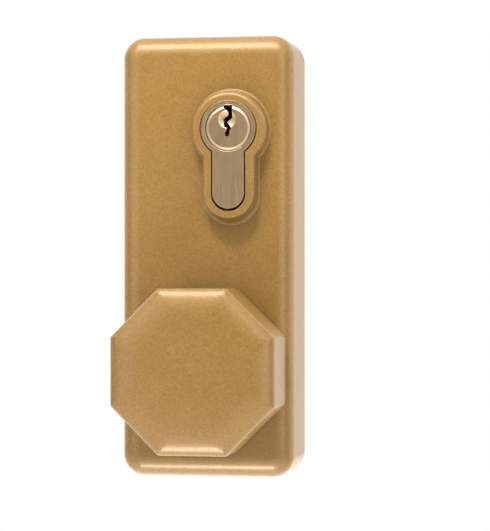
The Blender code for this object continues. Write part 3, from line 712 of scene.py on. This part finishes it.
def build_springs():
    clutch = coil(9.35, 0.5, 3.5, start=-14.6, end=-8.5, centre=(0, KNOB_Z), axis="y")
    piece(clutch, "clutch_coil", "knob", "spring_steel", "clutch_spring", 60.0)
    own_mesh(clutch)
    low, high = CYL_Z - 22.28, CYL_Z - 12.72
    for k, y in enumerate(PIN_Y, 1):
        spring = coil(1.08, 0.18, 6, low, high, (CYL_X, y), "z", sides=8, steps=18)
        piece(spring, f"pin_coil_{k}", "casing", "spring_steel", f"pin_spring_{k}", 60.0)
        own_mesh(spring)


# ---------------------------------------------------------------- nodes kept from the frame
# bevel widths in millimetres
BEVEL = {
    "back_plate": 0.18, "fixing_post_upper": 0.2, "fixing_post_lower": 0.2, "spindle_bar": 0.3,
    "spindle_follower": 0.15, "clutch_sleeve": 0.15, "lock_slide": 0.2, "cylinder_cam": 0.25,
    "knob_shaft": 0.2, "centring_plate": 0.15, "cylinder_fixing_screw": 0.12,
    "guide_pin_upper": 0.12, "guide_pin_lower": 0.12, "knob_bush": 0.15,
    **{f"back_plate_screw_{k}": 0.08 for k in range(1, 5)},
}


def smoothing_group():
    """Geometry nodes that weld the mesh and keep only edges of 33 degrees and more sharp."""
    tree = bpy.data.node_groups.new("weld_and_smooth", "GeometryNodeTree")
    for direction in ("INPUT", "OUTPUT"):
        tree.interface.new_socket("Geometry", in_out=direction, socket_type="NodeSocketGeometry")
    new, link = tree.nodes.new, tree.links.new
    group_in = new("NodeGroupInput")
    group_out = new("NodeGroupOutput")
    weld = new("GeometryNodeMergeByDistance")
    weld.inputs["Distance"].default_value = 1e-6
    faces = new("GeometryNodeSetShadeSmooth")
    faces.domain = "FACE"
    edges = new("GeometryNodeSetShadeSmooth")
    edges.domain = "EDGE"
    angle = new("GeometryNodeInputMeshEdgeAngle")
    less = new("FunctionNodeCompare")
    less.data_type = "FLOAT"
    less.operation = "LESS_THAN"
    less.inputs[1].default_value = math.radians(33)
    link(group_in.outputs[0], weld.inputs["Geometry"])
    link(weld.outputs[0], faces.inputs["Geometry"])
    link(faces.outputs[0], edges.inputs["Geometry"])
    link(angle.outputs[0], less.inputs[0])
    link(less.outputs[0], edges.inputs["Shade Smooth"])
    link(edges.outputs[0], group_out.inputs[0])
    return tree


def dress_kept_nodes():
    slots = {part["node"]: part["material_slot"] for part in frame["record"]["subparts"]}
    group = smoothing_group()
    for name, ob in frame["nodes"].items():
        if ob.hide_render:
            continue
        normals = ob.data.attributes.get("custom_normal")
        if normals:
            ob.data.attributes.remove(normals)
        paint(ob, slots[name])
        ob.modifiers.new("smooth", "NODES").node_group = group
        if name in BEVEL:
            bevel = ob.modifiers.new("bevel", "BEVEL")
            bevel.width = BEVEL[name] * 0.001
            bevel.segments = 2
            bevel.limit_method = "ANGLE"
            bevel.angle_limit = math.radians(40)
            bevel.use_clamp_overlap = True
            bevel.harden_normals = False
        weight_normals(ob)


# ---------------------------------------------------------------- stage
WARM = (1.0, 0.93, 0.80)
FLOOR_HALF, FLOOR_Z = 4, -0.60
# tent brightness: degrees from the front towards +x, level
AROUND = [
    (-180, 0.8), (-140, 1.15), (-104, 1.0), (-82, 0.2), (-66, 0.2), (-50, 1.4), (-30, 1.4),
    (-13, 0.18), (6, 0.06), (21, 0.35), (32, 2.1), (44, 2.1), (58, 0.2), (72, 0.25), (92, 1.5),
    (124, 1.5), (150, 0.82), (180, 0.8),
]
# the rest by elevation in degrees: share of AROUND, added level, whiteness
SHARE = [(-90, 0.0), (-45, 0.0), (-22, 1.0), (22, 1.0), (45, 0.0), (90, 0.0)]
DOMES = [
    (-90, 0.2), (-60, 0.25), (-44, 0.4), (-30, 0.3), (-14, 0.02), (13, 0.02), (30, 0.9),
    (50, 1.1), (64, 1.2), (76, 1.6), (90, 1.9),
]
WHITENESS = [(-90, 0.0), (-40, 0.0), (-8, 1.0), (90, 1.0)]


def build_floor():
    h, z = FLOOR_HALF, FLOOR_Z
    mesh = bpy.data.meshes.new("floor")
    mesh.from_pydata([(-h, -h, z), (h, -h, z), (h, h, z), (-h, h, z)], [], [(0, 1, 2, 3)])
    floor = bpy.data.objects.new("floor", mesh)
    SCENE.collection.objects.link(floor)
    material = bpy.data.materials.new("floor")
    material.use_nodes = True
    inputs = material.node_tree.nodes["Principled BSDF"].inputs
    inputs["Base Color"].default_value = (0.8, 0.8, 0.8, 1)
    inputs["Roughness"].default_value = 0.9
    inputs["Emission Color"].default_value = (*WARM, 1)
    inputs["Emission Strength"].default_value = 0.4
    mesh.materials.append(material)


def build_world():
    """A light tent, dim in the middle of the front; the camera itself sees plain white."""
    world = bpy.data.worlds.new("studio")
    SCENE.world = world
    world.use_nodes = True
    sky = Graph(world.node_tree)
    direction = sky.node("ShaderNodeTexCoord", {}).outputs["Generated"]
    x, y, z = sky.node("ShaderNodeSeparateXYZ", {0: direction}).outputs
    azimuth = sky.math("ARCTAN2", x, sky.math("MULTIPLY", y, -1.0))
    elevation = sky.math("ARCSINE", z)
    around = sky.ramp(azimuth, math.pi, AROUND)
    share = sky.ramp(elevation, math.pi / 2, SHARE)
    domes = sky.ramp(elevation, math.pi / 2, DOMES)
    level = sky.math("ADD", sky.math("MULTIPLY", around, share), domes)
    colour = sky.mix(sky.ramp(elevation, math.pi / 2, WHITENESS), WARM, (1.0, 1.0, 1.0))
    tent = sky.node("ShaderNodeBackground", {0: colour, 1: level})
    plain = sky.node("ShaderNodeBackground", {0: (1, 1, 1)})
    seen = sky.node("ShaderNodeLightPath", {}).outputs["Is Camera Ray"]
    both = sky.node("ShaderNodeMixShader", {0: seen, 1: tent.outputs[0], 2: plain.outputs[0]})
    sky.node("ShaderNodeOutputWorld", {0: both.outputs[0]})


def softbox(name, where, size, radiance, hide, colour=(1, 1, 1), target=(0, 0, 0)):
    """A rectangular light aimed at target; hide names the kind of ray that does not see it."""
    width, height = size
    light = bpy.data.lights.new(name, "AREA")
    light.shape = "RECTANGLE"
    light.size, light.size_y = width, height
    light.energy = radiance * width * height * math.pi
    light.color = colour
    ob = bpy.data.objects.new(name, light)
    SCENE.collection.objects.link(ob)
    ob.location = where
    ob.rotation_euler = (Vector(target) - Vector(where)).to_track_quat("-Z", "Y").to_euler()
    setattr(ob, "visible_" + hide, False)


def build_lights():
    """Each front light is a pair: one for reflections and a key for diffuse light."""
    cool, warm = (1.0, 0.99, 0.975), (1.0, 0.97, 0.89)
    softbox("upper", (-0.05, -0.285, 0.37), (0.40, 0.18), 9.6, "diffuse", cool)
    # smaller than its partner, so that the boss throws a shadow
    softbox("upper_key", (-0.03, -0.27, 0.385), (0.09, 0.06), 170.0, "glossy", cool)
    below, distance = math.radians(-53), 0.62
    lower = (-0.07, -distance * math.cos(below), distance * math.sin(below))
    softbox("lower", lower, (0.22, 0.14), 15.5, "diffuse", warm)
    softbox("lower_key", lower, (0.22, 0.14), 5.5, "glossy", warm)
    for side in (-1, 1):
        for up in (-1, 1):
            where, target = (side * 0.44, 0.42, up * 0.40), (side * 0.025, 0.013, 0)
            name = f"side_{side}_{up}"
            softbox(name, where, (0.30, 0.40), 13.5, "glossy", target=target)


def build_camera():
    azimuth = math.radians(11.37)  # to the right of straight in front
    distance, height = 0.6673, -0.00418  # level distance from the casing's face, and z
    aim_right, aim_up = math.radians(1.0262558), math.radians(0.1166084)
    cam = bpy.data.cameras.new("camera")
    cam.sensor_fit = "AUTO"
    cam.sensor_width = 36.0
    cam.lens = 147.905085
    cam.clip_start, cam.clip_end = 0.05, 50
    ob = bpy.data.objects.new("camera", cam)
    SCENE.collection.objects.link(ob)
    y = FACE * 0.001 - distance * math.cos(azimuth)
    ob.location = (distance * math.sin(azimuth), y, height)
    ob.rotation_euler = (math.radians(90) + aim_up, 0, azimuth - aim_right)
    SCENE.camera = ob
    SCENE.view_settings.view_transform = "Standard"
    SCENE.view_settings.look = "None"


build_casing()
build_barrel()
build_plug()
build_knob()
build_springs()
dress_kept_nodes()
build_floor()
build_world()
build_lights()
build_camera()
